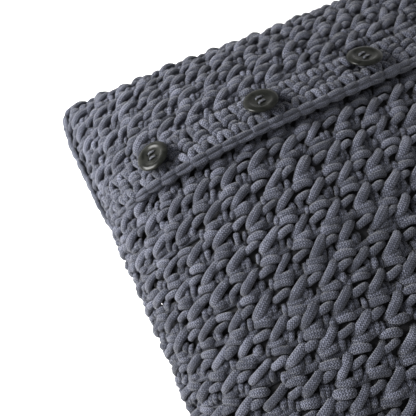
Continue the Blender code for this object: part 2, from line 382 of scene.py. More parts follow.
yarnFinish = {
    "dark": (0.017, 0.019, 0.029),
    "middle": (0.062, 0.067, 0.092),
    "light": (0.205, 0.215, 0.280),
    "ribPitch": 1.25 * mm,  # knitted ribs across the tube yarn
    "ribColumns": 10,  # knitted columns round it
    "ribSlant": 1.3,
    "ribGroove": 1.6,  # depth of the groove between two columns, against a rib's
    "ribHeight": 0.7 * mm,
    "ribStrength": 0.55,
    "fuzzScale": 900,
    "fuzzHeight": 0.45 * mm,
    "fuzzStrength": 0.6,
    "patchScale": 130,
    "colourStops": (0.5, 0.78, 1.0),  # where dark, middle and light lie
    "strandShade": 0.22,
    "patchShade": 0.45,
    "speckShade": 0.55,
    # knit stripes in the colour, lighter on the ribs and darker in the grooves between them: painted shade
    "ribPaintedShade": 0.19,
    "paintedShadeFrom": -1.0,  # painted shade between the stitches: darkest at this height, in millimetres over the cloth's base
    # height where the painted shade has gone
    "paintedShadeTo": 4.2,
    # share of the colour that the painted shade leaves at its darkest
    "paintedShadeDeepest": 0.10,
    "roughness": 0.86,
    "sheen": 0.22,
    "sheenRoughness": 0.5,
    "specular": 0.25,
}


def makeYarnFinish():
    spec = yarnFinish
    paint, nodes, links, shader = newFinish("tubeYarn")
    uv = nodes.new("ShaderNodeUVMap")
    uv.uv_map = "yarn"
    parts = nodes.new("ShaderNodeSeparateXYZ")
    links.new(uv.outputs[0], parts.inputs[0])
    around, along = parts.outputs[0], parts.outputs[1]
    column = mathNode(nodes, links, "MULTIPLY", around, spec["ribColumns"])
    column = mathNode(nodes, links, "PINGPONG", column, 0.5)
    slant = mathNode(nodes, links, "MULTIPLY", column, spec["ribSlant"])
    turns = mathNode(nodes, links, "DIVIDE", along, spec["ribPitch"])
    phase = mathNode(nodes, links, "ADD", turns, slant)
    wave = mathNode(nodes, links, "SINE", mathNode(nodes, links, "MULTIPLY", phase, 2 * math.pi))
    groove = mathNode(nodes, links, "MULTIPLY", column, spec["ribGroove"])
    rib = mathNode(nodes, links, "ADD", wave, groove)
    place = nodes.new("ShaderNodeTexCoord").outputs["Object"]
    fuzz = noiseNode(nodes, links, place, spec["fuzzScale"], 4)
    ribBump = bumpNode(nodes, links, rib, spec["ribStrength"], spec["ribHeight"])
    fuzzBump = bumpNode(nodes, links, fuzz, spec["fuzzStrength"], spec["fuzzHeight"], ribBump)
    links.new(fuzzBump, shader.inputs["Normal"])
    tint = nodes.new("ShaderNodeAttribute")
    tint.attribute_name = "tint"
    patch = noiseNode(nodes, links, place, spec["patchScale"], 3)
    level = None
    # the ribs' share is painted shade in their grooves; the others are the yarn's own tone
    shades = ((tint.outputs["Fac"], spec["strandShade"]), (patch, spec["patchShade"]))
    shades += ((fuzz, spec["speckShade"]), (rib, spec["ribPaintedShade"]))
    for source, amount in shades:
        part = mathNode(nodes, links, "MULTIPLY", source, amount)
        level = part if level is None else mathNode(nodes, links, "ADD", level, part)
    stops = list(zip(spec["colourStops"], (spec["dark"], spec["middle"], spec["light"])))
    colour = rampNode(nodes, links, level, stops)
    # painted shade: yarn deep between the stitches is darkened against yarn on top of them, by its height
    # over the cloth's base
    height = nodes.new("ShaderNodeAttribute")
    height.attribute_name = "level"
    paintedShade = nodes.new("ShaderNodeMapRange")
    paintedShade.interpolation_type = "SMOOTHSTEP"
    paintedShade.inputs["From Min"].default_value = spec["paintedShadeFrom"]
    paintedShade.inputs["From Max"].default_value = spec["paintedShadeTo"]
    paintedShade.inputs["To Min"].default_value = spec["paintedShadeDeepest"]
    links.new(height.outputs["Fac"], paintedShade.inputs["Value"])
    shade = nodes.new("ShaderNodeVectorMath")
    shade.operation = "SCALE"
    links.new(colour, shade.inputs[0])
    links.new(paintedShade.outputs[0], shade.inputs["Scale"])
    links.new(shade.outputs[0], shader.inputs["Base Color"])
    shader.inputs["Roughness"].default_value = spec["roughness"]
    shader.inputs["Sheen Weight"].default_value = spec["sheen"]
    shader.inputs["Sheen Roughness"].default_value = spec["sheenRoughness"]
    shader.inputs["Specular IOR Level"].default_value = spec["specular"]
    return paint


caseFinish = {
    "dark": (0.004, 0.004, 0.005),
    "light": (0.012, 0.012, 0.015),
    "threadPitch": 0.5 * mm,
    "threadHeight": 0.12 * mm,
    "threadStrength": 0.5,
    # the weave in the colour, darker in its dips: painted shade
    "weavePaintedShade": 0.15,
    "patchScale": 60,
    "colourStops": (0.3, 0.75),
    "roughness": 0.9,
    "sheen": 0.1,
}


def makeCaseFinish():
    spec = caseFinish
    paint, nodes, links, shader = newFinish("wovenCase")
    place = nodes.new("ShaderNodeTexCoord").outputs["Object"]
    parts = nodes.new("ShaderNodeSeparateXYZ")
    links.new(place, parts.inputs[0])
    waves = []
    for axis in (0, 1):
        turns = mathNode(nodes, links, "MULTIPLY", parts.outputs[axis], 2 * math.pi / spec["threadPitch"])
        waves.append(mathNode(nodes, links, "SINE", turns))
    weave = mathNode(nodes, links, "MULTIPLY", waves[0], waves[1])
    bump = bumpNode(nodes, links, weave, spec["threadStrength"], spec["threadHeight"])
    links.new(bump, shader.inputs["Normal"])
    patch = noiseNode(nodes, links, place, spec["patchScale"])
    # painted shade in the weave's dips
    level = mathNode(nodes, links, "MULTIPLY", weave, spec["weavePaintedShade"])
    level = mathNode(nodes, links, "ADD", level, patch)
    stops = list(zip(spec["colourStops"], (spec["dark"], spec["light"])))
    links.new(rampNode(nodes, links, level, stops), shader.inputs["Base Color"])
    shader.inputs["Roughness"].default_value = spec["roughness"]
    shader.inputs["Sheen Weight"].default_value = spec["sheen"]
    return paint


buttonFinish = {
    "dark": (0.005, 0.0055, 0.0045),
    "light": (0.018, 0.0185, 0.016),
    "swirlScale": 95,
    "swirlTwist": 1.4,
    "colourStops": (0.35, 0.7),
    "scratchScale": 700,
    "scratchDepth": 0.05 * mm,
    "scratchStrength": 0.12,
    "roughness": 0.24,
    "specular": 0.16,
}


def makeButtonFinish():
    spec = buttonFinish
    paint, nodes, links, shader = newFinish("polishedButton")
    place = nodes.new("ShaderNodeTexCoord").outputs["Object"]
    swirl = noiseNode(nodes, links, place, spec["swirlScale"], 3, spec["swirlTwist"])
    stops = list(zip(spec["colourStops"], (spec["dark"], spec["light"])))
    links.new(rampNode(nodes, links, swirl, stops), shader.inputs["Base Color"])
    scratch = noiseNode(nodes, links, place, spec["scratchScale"])
    bump = bumpNode(nodes, links, scratch, spec["scratchStrength"], spec["scratchDepth"])
    links.new(bump, shader.inputs["Normal"])
    shader.inputs["Roughness"].default_value = spec["roughness"]
    shader.inputs["Specular IOR Level"].default_value = spec["specular"]
    return paint


threadFinish = {
    "dark": (0.028, 0.030, 0.038),
    "light": (0.075, 0.080, 0.098),
    "plyPitch": 0.7 * mm,
    "plyShare": 6.3,  # divides the scale, to suit the wave texture
    "plyTwist": 0.6,
    "plyHeight": 0.2 * mm,
    "plyStrength": 0.6,
    "colourStops": (0.1, 0.9),
    "roughness": 0.7,
    "sheen": 0.2,
}


def makeThreadFinish():
    spec = threadFinish
    paint, nodes, links, shader = newFinish("sewingThread")
    place = nodes.new("ShaderNodeTexCoord")
    wave = nodes.new("ShaderNodeTexWave")
    wave.wave_type = "BANDS"
    wave.bands_direction = "DIAGONAL"
    wave.inputs["Scale"].default_value = 1 / spec["plyPitch"] / spec["plyShare"]
    wave.inputs["Distortion"].default_value = spec["plyTwist"]
    links.new(place.outputs["Object"], wave.inputs["Vector"])
    stops = list(zip(spec["colourStops"], (spec["dark"], spec["light"])))
    # the ply bands in the colour, darker in the grooves of the twist: painted shade
    links.new(rampNode(nodes, links, wave.outputs["Fac"], stops), shader.inputs["Base Color"])
    bump = bumpNode(nodes, links, wave.outputs["Fac"], spec["plyStrength"], spec["plyHeight"])
    links.new(bump, shader.inputs["Normal"])
    shader.inputs["Roughness"].default_value = spec["roughness"]
    shader.inputs["Sheen Weight"].default_value = spec["sheen"]
    return paint


finishes = {
    "yarn": makeYarnFinish(),
    "case": makeCaseFinish(),
    "button": makeButtonFinish(),
    "thread": makeThreadFinish(),
}
print("finishes:", ", ".join(finishes))


# yarn: every strand is a short closed tube, wide across and flatter through
strandShape = {
    "sides": 8,
    "endTaper": 0.2,  # share of a strand's length over which each end rounds off
    "leastEnd": 0.02,
    "unevenness": 0.09,  # how the thickness changes along a strand
    "unevenTurns": 7,
    "unevenStart": 40,
    "tint": (0.5, 0.22),  # middle and spread of a strand's own shade
    "plainShadeLevel": 3.5 * mm,  # height that the painted shade of strands with no height of their own over the cloth is taken from
}


def smoothPath(points, rings):
    # an even curve through the few points that a strand is given by
    given = np.array(points, float)
    padded = np.vstack([2 * given[0] - given[1], given, 2 * given[-1] - given[-2]])
    place = np.linspace(0, len(given) - 1, rings)
    index = np.minimum(place.astype(int), len(given) - 2)
    t = (place - index)[:, None]
    a, b, c, d = (padded[index + k] for k in range(4))
    return 0.5 * (2 * b + (c - a) * t + (2 * a - 5 * b + 4 * c - d) * t**2 + (3 * b - 3 * c + d - a) * t**3)


def roundedEnds(rings):
    # the share of its full thickness that a strand has at each ring
    x = np.linspace(0, 1, rings)
    inner = np.minimum(x, 1 - x) / strandShape["endTaper"]
    return np.sqrt(np.clip(1 - (1 - np.clip(inner, 0, 1)) ** 2, strandShape["leastEnd"], 1))


def strandTints(rng, count):
    middle, spreadOut = strandShape["tint"]
    return np.clip(rng.normal(middle, spreadOut, count), 0, 1)


def tubes(centres, normals, width, thickness, tint, height=None, sides=strandShape["sides"]):
    # centres is strands x rings x 3; the tube's wide way lies along the cloth
    spec = strandShape
    ahead = np.gradient(centres, axis=1)
    ahead /= np.linalg.norm(ahead, axis=-1, keepdims=True) + 1e-12
    side = np.cross(ahead, normals)
    side /= np.linalg.norm(side, axis=-1, keepdims=True) + 1e-12
    up = np.cross(side, ahead)
    rings = centres.shape[1]
    ends = roundedEnds(rings)
    turns = np.linspace(0, spec["unevenTurns"], rings)[None, :] + spec["unevenStart"] * tint[:, None]
    swell = 1 + spec["unevenness"] * np.sin(turns)
    wide = (width / 2)[:, None] * ends[None, :] * swell
    thick = (thickness / 2)[:, None] * ends[None, :] * swell
    angle = np.linspace(0, 2 * math.pi, sides, endpoint=False)
    points = (
        centres[:, :, None, :]
        + (wide[:, :, None] * np.cos(angle))[..., None] * side[:, :, None, :]
        + (thick[:, :, None] * np.sin(angle))[..., None] * up[:, :, None, :]
    )
    step = np.linalg.norm(np.diff(centres, axis=1), axis=-1)
    along = np.concatenate([np.zeros((len(centres), 1)), np.cumsum(step, axis=1)], axis=1)
    # each point's height over the cloth's base, which the yarn's painted shade is taken from
    level = np.full(centres.shape[:2], spec["plainShadeLevel"]) if height is None else height
    level = level[:, :, None] + thick[:, :, None] * np.sin(angle)
    return {"points": points, "along": along, "tint": tint, "level": level}


def meshFromTubes(name, groups, finish="yarn"):
    # all the strands of a piece in one mesh, each of them closed
    verts, quads, quadUv, caps, capUv, tints, shadeLevels = [], [], [], [], [], [], []
    start = 0
    for group in groups:
        count, rings, sides, _ = group["points"].shape
        index = start + np.arange(count * rings * sides).reshape(count, rings, sides)
        following = np.roll(index, -1, axis=2)
        quad = np.stack([index[:, :-1], index[:, 1:], following[:, 1:], following[:, :-1]], -1)
        quads.append(quad.reshape(-1, 4))
        share = np.arange(sides) / sides
        u0 = np.broadcast_to(share, (count, rings - 1, sides))
        u1 = u0 + 1 / sides
        v0 = np.broadcast_to(group["along"][:, :-1, None], u0.shape)
        v1 = np.broadcast_to(group["along"][:, 1:, None], u0.shape)
        corners = [np.stack(pair, -1) for pair in ((u0, v0), (u0, v1), (u1, v1), (u1, v0))]
        quadUv.append(np.stack(corners, -2).reshape(-1, 2))
        for ring, flip in ((0, 1), (-1, -1)):
            cap = index[:, ring, ::flip]
            caps.append((sides, cap.reshape(-1)))
            capV = np.broadcast_to(group["along"][:, ring, None], cap.shape)
            capU = np.broadcast_to(share, cap.shape)
            capUv.append(np.stack([capU, capV], -1).reshape(-1, 2))
        verts.append(group["points"].reshape(-1, 3))
        tints.append(np.repeat(group["tint"], rings * sides))
        shadeLevels.append(group["level"].reshape(-1) / mm)
        start += count * rings * sides
    verts = np.concatenate(verts)
    quads = np.concatenate(quads)
    loops = np.concatenate([quads.reshape(-1)] + [cap for _, cap in caps])
    sizes = [np.full(len(quads), 4)] + [np.full(len(cap) // sides, sides) for sides, cap in caps]
    sizes = np.concatenate(sizes)
    mesh = bpy.data.meshes.new(name)
    mesh.vertices.add(len(verts))
    mesh.vertices.foreach_set("co", verts.astype(np.float32).ravel())
    mesh.loops.add(len(loops))
    mesh.loops.foreach_set("vertex_index", loops.astype(np.int32))
    mesh.polygons.add(len(sizes))
    starts = np.concatenate([[0], np.cumsum(sizes)[:-1]])
    mesh.polygons.foreach_set("loop_start", starts.astype(np.int32))
    mesh.update(calc_edges=True)
    layer = mesh.uv_layers.new(name="yarn")
    uvs = np.concatenate([np.concatenate(quadUv), np.concatenate(capUv)])
    layer.data.foreach_set("uv", uvs.astype(np.float32).ravel())
    # tint gives each strand its own tone; level, in millimetres, sets the yarn's painted shade
    for label, values in (("tint", tints), ("level", shadeLevels)):
        attribute = mesh.attributes.new(label, "FLOAT", "POINT")
        attribute.data.foreach_set("value", np.concatenate(values).astype(np.float32))
    mesh.polygons.foreach_set("use_smooth", np.ones(len(sizes), bool))
    mesh.validate()
    piece = bpy.data.objects.new(name, mesh)
    bpy.context.scene.collection.objects.link(piece)
    mesh.materials.append(finishes[finish])
    return piece


crossedStitch = {
    "pitch": 21.4 * mm,
    "row": 16.9 * mm,
    "lean": -0.034,  # how far a row slips sideways against the one below, in stitch widths
    "jitter": 0.05,  # how unevenly the stitches lie, as a share of their size
    "strandJitter": 0.6,  # and the strands in a stitch, as a share of that
    "lift": 0.5 * mm,
    "turn": 0.08,  # how unevenly the strands lie, in radians
    "thickness": 0.07,  # how unevenly thick they are
    "firstColumn": -0.69,  # where the first stitch of a row lies, in stitch widths from the left side
    "pastLeft": 0.1,  # how far out of the cloth a stitch's middle may lie, in stitch widths and rows
    "pastRight": 0.35,
    "pastTop": 0.45,
    "pastBottom": 0.15,
    "shortOfLow": 0.25,  # how far above its lower end a part of the cloth stops, in rows
    "underShift": 0.5,  # how far the strands on the flap's inner side lie from the outer ones, in stitches
    "underPress": 0.7,  # how far they stand out, against the outer ones
    "underShadeLevel": 3 * mm,  # the height that their painted shade is taken from
    # paths are shares of a stitch's width and a row's height, then millimetres over the cloth's base
    "strands": {
        "cross": {
            "path": [
                (0.41, 0.31, -3.0), (0.33, 0.25, 0.4), (0.20, 0.16, 3.6), (0.0, 0.01, 4.8),
                (-0.19, -0.15, 4.2), (-0.30, -0.25, 1.8), (-0.36, -0.33, -2.0),
            ],
            "width": 5.8, "thickness": 4.8, "rings": 12,
        },
        "upper": {
            "path": [
                (-0.57, 0.33, -1.6), (-0.48, 0.38, 2.0), (-0.31, 0.38, 4.0), (-0.13, 0.31, 3.6),
                (0.0, 0.21, 0.6),
            ],
            "width": 5.3, "thickness": 4.6, "rings": 10,
        },
        "middle": {
            "path": [
                (-0.78, -0.08, -1.2), (-0.69, -0.04, 1.8), (-0.56, 0.01, 3.8), (-0.41, 0.06, 3.9),
                (-0.28, 0.07, 2.2), (-0.17, 0.03, -0.4),
            ],
            "width": 4.8, "thickness": 4.4, "rings": 10,
        },
        "lower": {
            "path": [
                (-0.42, -0.33, -1.0), (-0.30, -0.38, 2.2), (-0.15, -0.41, 3.6), (0.0, -0.42, 3.0),
                (0.11, -0.47, -0.2),
            ],
            "width": 5.3, "thickness": 4.3, "rings": 9,
        },
        "legLeft": {
            "path": [
                (0.17, -0.10, -0.4), (0.15, -0.22, 2.0), (0.12, -0.34, 2.6), (0.11, -0.45, 1.2),
                (0.14, -0.54, -0.8),
            ],
            "width": 4.3, "thickness": 3.9, "rings": 8,
        },
        "legRight": {
            "path": [
                (0.34, -0.12, -0.4), (0.31, -0.24, 1.9), (0.28, -0.36, 2.3), (0.25, -0.47, 1.0),
                (0.26, -0.56, -0.8),
            ],
            "width": 4.2, "thickness": 3.8, "rings": 8,
        },
        "post": {
            "path": [(-0.49, -0.30, -1.6), (-0.51, -0.40, 1.2), (-0.55, -0.52, 2.2), (-0.58, -0.66, -0.6)],
            "width": 3.5, "thickness": 3.4, "rings": 7,
        },
        "under": {
            "path": [
                (-0.60, -0.49, -1.0), (-0.40, -0.53, 0.5), (-0.05, -0.55, 1.0), (0.35, -0.56, 0.6),
                (0.55, -0.50, -1.0),
            ],
            "width": 5.2, "thickness": 4.2, "rings": 9,
        },
    },
}


def sideSwell(a, b):
    # the cloth stands thicker where it turns down to the side seams
    near = np.clip((np.abs(a) - shape["swellFrom"]) / shape["swellOver"], 0, 1)
    return shape["swell"] * near * near * (3 - 2 * near)


def crossedRows(front, depth, highShare, lowShare, seed, across=(-1.1, 1.1), rowsFrom=0.0,
                lift=sideSwell, bend=None, sides=strandShape["sides"], underside=0):
    # rows of crossed stitches from highShare down to lowShare of the half height
    spec = crossedStitch
    rng = np.random.default_rng(seed)
    half = halfArc[front]
    columns = int(round(2 * half / spec["pitch"]))
    pitch = 2 / columns  # in shares of the half width
    row = spec["row"] / half
    rowCount = int(math.ceil((highShare - lowShare) / row)) + 1
    cellRow, cellColumn = np.meshgrid(np.arange(rowCount), np.arange(columns + 2), indexing="ij")
    centreUp = highShare - (cellRow + rowsFrom) * row
    slip = np.mod(spec["lean"] * centreUp / row, 1.0)
    centreAcross = -1 + (cellColumn + slip + spec["firstColumn"]) * pitch
    keep = (centreAcross > across[0]) & (centreAcross <= across[1])
    lowest = -1 - spec["pastBottom"] * row if lowShare <= -1 else lowShare + spec["shortOfLow"] * row
    keep &= (centreUp > lowest) & (centreUp < highShare + spec["pastTop"] * row)
    keep &= (centreAcross > -1 - spec["pastLeft"] * pitch) & (centreAcross < 1 + spec["pastRight"] * pitch)
    centreUp = centreUp[keep]
    centreAcross = centreAcross[keep]
    count = len(centreUp)
    groups = []
    slide = rng.normal(0, spec["jitter"], (count, 2))
    for strand in spec["strands"].values():
        curve = smoothPath(strand["path"], strand["rings"])
        wobble = slide + rng.normal(0, spec["jitter"] * spec["strandJitter"], (count, 2))
        middle = curve[len(curve) // 2]
        turn = rng.normal(0, spec["turn"], (count, 1))
        fromMiddle = (curve[None, :, 0] - middle[0], curve[None, :, 1] - middle[1])
        s = middle[0] + fromMiddle[0] * np.cos(turn) - fromMiddle[1] * np.sin(turn) + wobble[:, :1]
        t = middle[1] + fromMiddle[0] * np.sin(turn) + fromMiddle[1] * np.cos(turn) + wobble[:, 1:]
        h = curve[None, :, 2] * mm + rng.normal(0, spec["lift"], (count, 1))
        if underside:
            h = underside - h * spec["underPress"]
            s = s + spec["underShift"]
        if not front:
            s = -s
        a = np.clip(centreAcross[:, None] + s * pitch, -shape["clothEdge"], shape["clothEdge"])
        b = np.clip(centreUp[:, None] + t * row, -shape["clothEdge"], shape["clothEdge"])
        raised = h + lift(a, b)
        if bend is not None:
            b = bend(a, b)
        centres, normals = onCloth(a, b, raised, front, depth)
        thick = mm * (1 + rng.normal(0, spec["thickness"], count))
        size = (strand["width"] * thick, strand["thickness"] * thick)
        group = tubes(centres, normals, *size, strandTints(rng, count), h, sides)
        # the inner side's strands all take their painted shade from one height
        if underside:
            group["level"][:] = spec["underShadeLevel"]
        if not front:
            group["points"][..., 2] = np.maximum(group["points"][..., 2], shape["restGap"])
        groups.append(group)
    return groups


def dress(piece, body, replaced=()):
    # a blended piece is given no body here
    if body:
        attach(piece, body)
    if replaced:
        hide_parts(*replaced)
    print("made", piece.name, len(piece.data.polygons), "faces")
    return piece


# the insert inside: a filled cushion, blown up a little by the cloth solver
insert = {
    "depth": 16 * mm,
    "inset": 9 * mm,
    "grid": 40,
    "seamGap": 0.1 * mm,  # how far the front and the back stay off the seam's height
    "voxel": 6 * mm,
    "quality": 5,
    "pressure": 4.0,
    "stiffness": 25,
    "steps": 20,
    "cap": 3 * mm,
    "overBack": 4 * mm,  # how far it stays over the cover's back
    "fill": 0.8,
}


def closedCushion(name, depth, count):
    s = np.linspace(-1, 1, count + 1)
    su, sv = np.meshgrid(s, s, indexing="ij")
    frontPoints = layerPoint(su, sv, True, depth, insert["inset"])
    backPoints = layerPoint(su, sv, False, depth, insert["inset"])
    frontPoints[..., 2] = np.maximum(frontPoints[..., 2], seamHeight + insert["seamGap"])
    backPoints[..., 2] = np.minimum(backPoints[..., 2], seamHeight - insert["seamGap"])
    points = np.concatenate([frontPoints.reshape(-1, 3), backPoints.reshape(-1, 3)])
    index = np.arange((count + 1) ** 2).reshape(count + 1, count + 1)
    under = index + index.size
    faces = []
    for i in range(count):
        for j in range(count):
            faces.append((index[i, j], index[i + 1, j], index[i + 1, j + 1], index[i, j + 1]))
            faces.append((under[i, j], under[i, j + 1], under[i + 1, j + 1], under[i + 1, j]))
    for i in range(count):
        faces.append((index[i, 0], under[i, 0], under[i + 1, 0], index[i + 1, 0]))
        faces.append((index[i + 1, count], under[i + 1, count], under[i, count], index[i, count]))
        faces.append((index[0, i + 1], under[0, i + 1], under[0, i], index[0, i]))
        faces.append((index[count, i], under[count, i], under[count, i + 1], index[count, i + 1]))
    mesh = bpy.data.meshes.new(name)
    mesh.from_pydata([tuple(p) for p in points], [], [tuple(int(k) for k in f) for f in faces])
    piece = bpy.data.objects.new(name, mesh)
    bpy.context.scene.collection.objects.link(piece)
    return piece


def meshPoints(mesh):
    points = np.zeros(len(mesh.vertices) * 3, np.float32)
    mesh.vertices.foreach_get("co", points)
    return points.reshape(-1, 3).astype(float)


def blowUp(piece, spec):
    scene = bpy.context.scene
    remesh = piece.modifiers.new("remesh", "REMESH")
    remesh.mode = "VOXEL"
    remesh.voxel_size = spec["voxel"]
    bpy.context.view_layer.update()
    graph = bpy.context.evaluated_depsgraph_get()
    flat = bpy.data.meshes.new_from_object(piece.evaluated_get(graph))
    piece.modifiers.clear()
    piece.data = flat
    start = meshPoints(flat)
    cloth = piece.modifiers.new("cloth", "CLOTH")
    cloth.settings.quality = spec["quality"]
    cloth.settings.use_pressure = True
    cloth.settings.uniform_pressure_force = spec["pressure"]
    cloth.settings.effector_weights.gravity = 0
    cloth.settings.tension_stiffness = spec["stiffness"]
    cloth.settings.compression_stiffness = spec["stiffness"]
    cloth.point_cache.frame_start = 1
    cloth.point_cache.frame_end = spec["steps"]
    for step in range(1, spec["steps"] + 1):
        scene.frame_set(step)
    graph = bpy.context.evaluated_depsgraph_get()
    swollen = bpy.data.meshes.new_from_object(piece.evaluated_get(graph))
    piece.modifiers.clear()
    scene.frame_set(1)
    move = meshPoints(swollen) - start
    length = np.linalg.norm(move, axis=1, keepdims=True)
    move = move * np.minimum(1, spec["cap"] / np.maximum(length, 1e-9))
    swollenPoints = start + move
    lowest = shape["coverThickness"] + spec["overBack"]
    swollenPoints[:, 2] = np.maximum(swollenPoints[:, 2], lowest)
    flat.vertices.foreach_set("co", swollenPoints.astype(np.float32).ravel())
    flat.update()
    flat.polygons.foreach_set("use_smooth", np.ones(len(flat.polygons), bool))
    flat.materials.clear()
    flat.materials.append(finishes["case"])


cushion = closedCushion("insertCushion", insert["depth"], insert["grid"])
blowUp(cushion, insert)
dress(cushion, "cover", ("insert_filling", "insert_case_front", "insert_case_back"))


# a chain: pairs of legs, each pair coming out of the one before
chainLink = {
    "legs": {
        "near": [(-0.35, 0.05, -0.3), (0.05, 0.55, 0.7), (0.6, 0.75, 0.9), (1.1, 0.2, 0.0)],
        "far": [(-0.35, -0.05, -0.3), (0.05, -0.55, 0.7), (0.6, -0.75, 0.9), (1.1, -0.2, 0.0)],
    },
    "rings": 10,
    "jitter": 0.06,
    "thickness": 0.05,  # how unevenly thick the legs are
}


def chain(places, ahead, outward, spec, seed):
    # places, ahead and outward are given at each link's start
    rng = np.random.default_rng(seed)
    acrossWay = np.cross(outward, ahead)
    acrossWay /= np.linalg.norm(acrossWay, axis=-1, keepdims=True)
    count = len(places)
    groups = []
    for path in chainLink["legs"].values():
        curve = smoothPath(path, chainLink["rings"])
        wobble = rng.normal(0, chainLink["jitter"], (count, 1, 3))
        local = curve[None] + wobble
        centres = (
            places[:, None]
            + ahead[:, None] * local[..., :1] * spec["link"]
            + acrossWay[:, None] * local[..., 1:2] * spec["half"]
            + outward[:, None] * local[..., 2:] * spec["rise"]
        )
        normals = np.broadcast_to(outward[:, None], centres.shape)
        thick = 1 + rng.normal(0, chainLink["thickness"], count)
        size = (spec["width"] * thick, spec["thickness"] * thick)
        groups.append(tubes(centres, normals, *size, strandTints(rng, count)))
    return groups


def chainAlong(across, up, height, front, depth, spec, seed):
    # a chain that follows the cloth through these shares of the half width and half height
    places, normals = onCloth(across, up, height, front, depth)
    ahead = np.gradient(places, axis=0)
    ahead /= np.linalg.norm(ahead, axis=-1, keepdims=True)
    return chain(places, ahead, normals, spec, seed)


def aheadOf(places, further):
    ahead = further - places
    return ahead / np.linalg.norm(ahead, axis=-1, keepdims=True)


foldChain = {
    "link": 10.5 * mm,
    "half": 3.2 * mm,
    "rise": 1.6 * mm,
    "width": 4.8 * mm,
    "thickness": 4.0 * mm,
    "shares": (0.985, 0.95, 0.915),  # how far up the cloth the chains inside the fold lie
    "height": -0.8 * mm,
    "reach": 0.955,  # share of the half width that they run to
}


def foldChains(front, depth, across, seed):
    # chains inside the fold, which close it when the flap lifts
    groups = []
    everywhere = np.arange(-foldChain["reach"], foldChain["reach"], foldChain["link"] / halfArc[front])
    inside = everywhere[(everywhere > across[0]) & (everywhere <= across[1])]
    for number, share in enumerate(foldChain["shares"]):
        up = np.full_like(inside, share)
        height = np.full_like(inside, foldChain["height"])
        groups += chainAlong(inside, up, height, front, depth, foldChain, seed + number)
    return groups


# the crochet cover
def joined(name, groups, body, replaced=()):
    return dress(meshFromTubes(name, groups), body, replaced)


cover = {
    "frontDepth": 13.0 * mm,  # how far under the outside the base of each panel's stitches lies
    "backDepth": 8.2 * mm,
    "flapDepth": 6.2 * mm,
    "frontSplit": -0.1,  # each panel is made in two pieces, which meet near here
    "backSplit": 0.0,
    "belowMouth": 0.38,  # rows from the mouth down to the middle of the first front row
    "frontSides": 8,  # sides of each strand's tube
    "backSides": 7,
    "frontSeed": 11,
    "backSeed": 13,
    "foldSeed": 61,
}


def splitPanel(which, top, extra=()):
    # the upper piece stands for the frame's panel, the lower one goes on from its last row
    front = which == "front"
    depth = cover[which + "Depth"]
    split = cover[which + "Split"]
    sides = cover[which + "Sides"]
    seed = cover[which + "Seed"]
    row = crossedStitch["row"] / halfArc[front]
    upper = crossedRows(front, depth, top, split, seed, sides=sides) + list(extra)
    joined(which + "StitchesUpper", upper, "cover", (f"cover_{which}_panel",))
    rowsAbove = int(math.ceil((top - split) / row - crossedStitch["shortOfLow"]))
    lower = crossedRows(front, depth, top - rowsAbove * row, -1.0, seed + 1, sides=sides)
    joined(which + "StitchesLower", lower, "cover")


splitPanel("front", mouthLow - cover["belowMouth"] * crossedStitch["row"] / halfArc[True])
splitPanel("back", 1.0, foldChains(False, cover["backDepth"], (-1, 1), cover["foldSeed"]))

# the flap, its band and its edge
flap = {
    "endWidth": 85 * mm,  # how much of each end gives when the flap lifts
    "curl": 4.2 * mm,  # how far the edge stands off the front, away from its sewn ends
    "curlFrom": 45 * mm,
    "curlPower": 1.5,
    "endsFrom": 0.97,  # share of the half width where the seams stop holding the edge down
    "endsOver": 0.2,  # and how far in from there it takes to come free
    "endsPress": 4.0 * mm,  # how far the seams press the ends down
    "underside": 0.8 * mm,
    "firstRow": 0.35,  # rows from the fold to the first row of stitches, outside and inside
    "firstInnerRow": 0.85,
    "innerSides": 6,
    "lineSteps": 61,
    # the lines along which the edge, the band's foot and the band's top lie, as shares of the half height
    "edgeLine": 0.490,
    "footLine": 0.497,
    "topLine": 0.622,
    "bandRows": 3,
    "bandPitch": 10.7 * mm,
    "holeWidth": 8.5 * mm,  # half the width and half the height of a buttonhole
    "holeHeight": 5.2 * mm,
    "holeLine": 30,  # the row of the cloth's table that is used for the buttonholes
    "stretchFrom": 0.985,  # where the sewn ends' stretch begins, as a share of the half width
    "stretchTo": 0.93,  # and ends, as a share of the middle part's own half width
    "stretchAt": (0.1, 0.08),  # how far back and how high that is measured
    "seed": 30,
    "foldSeed": 65,
}
edgeChain = {
    "link": 11 * mm,
    "half": 2.4 * mm,
    "rise": 1.7 * mm,
    "width": 4.0 * mm,
    "thickness": 3.6 * mm,
    "height": 1.6 * mm,
    "reach": 0.985,
    "aheadStep": 0.01,
    "outward": (0.75, 0.65),  # how much the chain faces out of the cloth and down over the edge
}


def shareOfLine(v, across):
    # the share up the cloth of the line at height v, at each place across
    table = tables[True][0]
    rows, steps = table.shape
    sv = float(resquare(np.array(v)))
    su = lookUp(table, np.full(np.shape(across), sv), np.abs(across))
    heights = np.array([np.interp(sv, table[j], np.linspace(0, 1, steps)) for j in range(rows)])
    return np.interp(np.abs(su), np.linspace(0, 1, rows), heights)


def shareAtMiddle(v):
    return shareOfLine(v, np.array([0.0]))


frameEdge = (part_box("flap_edge_chain")[0][1] - middleY) / (halfWidth * pulled(0))
lineShares = np.linspace(0, 1, flap["lineSteps"])
edgeRatio = (1 - shareOfLine(frameEdge, lineShares)) / (1 - shareAtMiddle(frameEdge))


def flapBend(a, b):
    # the flap's rows run along lines of one height, though the cloth is shorter at the sides
    return 1 - (1 - b) * np.interp(np.abs(a), lineShares, edgeRatio)


def flapLift(a, b):
    near = np.clip(1 - (b - flapEdge) * halfArc[True] / flap["curlFrom"], 0, 1)
    ends = np.clip((flap["endsFrom"] - np.abs(a)) / flap["endsOver"], 0, 1)
    curl = flap["curl"] * near ** flap["curlPower"] * ends * ends * (3 - 2 * ends)
    return curl - flap["endsPress"] * (1 - ends) * near


